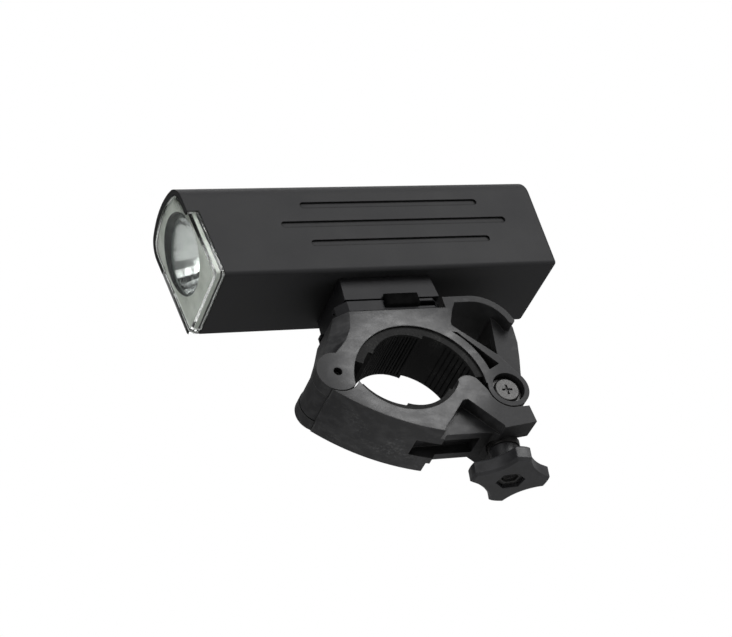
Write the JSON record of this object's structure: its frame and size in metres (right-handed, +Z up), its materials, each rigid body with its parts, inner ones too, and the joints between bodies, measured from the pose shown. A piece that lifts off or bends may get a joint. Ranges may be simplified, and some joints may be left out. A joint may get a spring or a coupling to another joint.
{
  "type": "bike light",
  "caption": "Slim rectangular bike headlight with a round clear window, on a swivelling quick-release seat and a hinged handlebar clamp closed by a star knob.",
  "frame": {"origin": "centre of the handlebar that the closed jaws grip", "axes": "+Z up through the light, +Y along the handlebar, beam along -X"},
  "size_m": [0.1056, 0.0278, 0.095],
  "materials": {
    "black_metal": "matte anodised",
    "clear_plastic": "polished",
    "grey_ring": "satin",
    "seal_rubber": "matte",
    "mirror_coat": "polished",
    "led_phosphor": "satin",
    "bare_aluminium": "satin",
    "board_green": "satin",
    "flex_orange": "satin",
    "cell_wrap": "wrapped",
    "spring_steel": "bright",
    "black_plastic": "satin",
    "black_rubber": "matte",
    "zinc_steel": "zinc plated",
    "black_steel": "blackened"
  },
  "bodies": {
    "clamp_upper": {"upper_jaw": "black_plastic", "upper_pad": "black_rubber", "hinge_pin": "black_steel"},
    "swivel_seat": {"seat_plate": "black_plastic", "swivel_screw": "zinc_steel", "swivel_washer": "zinc_steel", "swivel_nut": "zinc_steel"},
    "tab": {"release_tab": "black_plastic"},
    "button": {"power_button": "black_rubber", "switch_stem": "black_plastic"},
    "flap": {"port_cover": "black_rubber"},
    "clamp_lower": {"lower_jaw": "black_plastic", "lower_pad": "black_rubber"},
    "barrel": {"barrel_nut": "black_steel"},
    "thrust": {"knob_washer": "black_steel"},
    "knob": {"clamp_knob": "black_plastic", "clamp_screw": "black_steel"},
    "light": {"housing": "black_metal", "front_lens": "clear_plastic", "bezel": "grey_ring", "lens_seal": "seal_rubber", "reflector": "mirror_coat", "led_emitter": "led_phosphor", "led_board": "bare_aluminium", "heat_sink": "bare_aluminium", "led_flex": "flex_orange", "battery_cell": "cell_wrap", "cell_holder": "black_plastic", "contact_spring": "spring_steel", "contact_plate": "spring_steel", "driver_board": "board_green", "charging_port": "spring_steel", "tact_switch": "black_plastic", "rear_cap": "black_plastic", "rear_cap_screws": "black_steel", "rear_seal": "seal_rubber", "light_shoe": "black_plastic", "shoe_screws": "zinc_steel"}
  },
  "joints": [
    {"name": "mount_swivel", "type": "hinge", "parent": "clamp_upper", "child": "swivel_seat", "pos_m": [0.0004, 0, 0.019], "axis": [0, 0, 1], "continuous": true},
    {"name": "light_slide", "type": "slide", "parent": "swivel_seat", "child": "light", "axis": [1, 0, 0], "range_m": [-0.028, 0]},
    {"name": "release_tab_slide", "type": "slide", "parent": "swivel_seat", "child": "tab", "axis": [1, 0, 0], "range_m": [0, 0.004], "stiffness_N_per_m": 400, "springref_m": -0.001},
    {"name": "power_button_press", "type": "slide", "parent": "light", "child": "button", "axis": [0, 0, -1], "range_m": [0, 0.0006], "stiffness_N_per_m": 2500, "springref_m": -0.0002},
    {"name": "port_cover_hinge", "type": "hinge", "parent": "light", "child": "flap", "pos_m": [0.0511, 0, 0.0587], "axis": [0, -1, 0], "range_deg": [0, 110]},
    {"name": "screw_travel", "type": "slide", "parent": "barrel", "child": "thrust", "axis": [-0.1392, 0, -0.9903], "range_m": [0, 0.016]},
    {"name": "knob_turn", "type": "hinge", "parent": "thrust", "child": "knob", "pos_m": [0.026, 0, -0.0077], "axis": [-0.1392, 0, -0.9903], "range_deg": [0, 7200.1]},
    {"name": "barrel_swing", "type": "hinge", "parent": "clamp_upper", "child": "barrel", "pos_m": [0.026, 0, -0.0077], "axis": [0, 1, 0], "range_deg": [0, 14.41]},
    {"name": "jaw_hinge", "type": "hinge", "parent": "clamp_upper", "child": "clamp_lower", "pos_m": [-0.0212, 0, 0.0003], "axis": [0, 1, 0], "range_deg": [0, 18.71]}
  ],
  "couplings": [
    {"joint": "knob_turn", "follows": "screw_travel", "rad_per_m": 7854},
    {"joint": "jaw_hinge", "follows": "screw_travel", "rad_per_m": 20.399},
    {"joint": "barrel_swing", "follows": "screw_travel", "rad_per_m": 15.708}
  ]
}
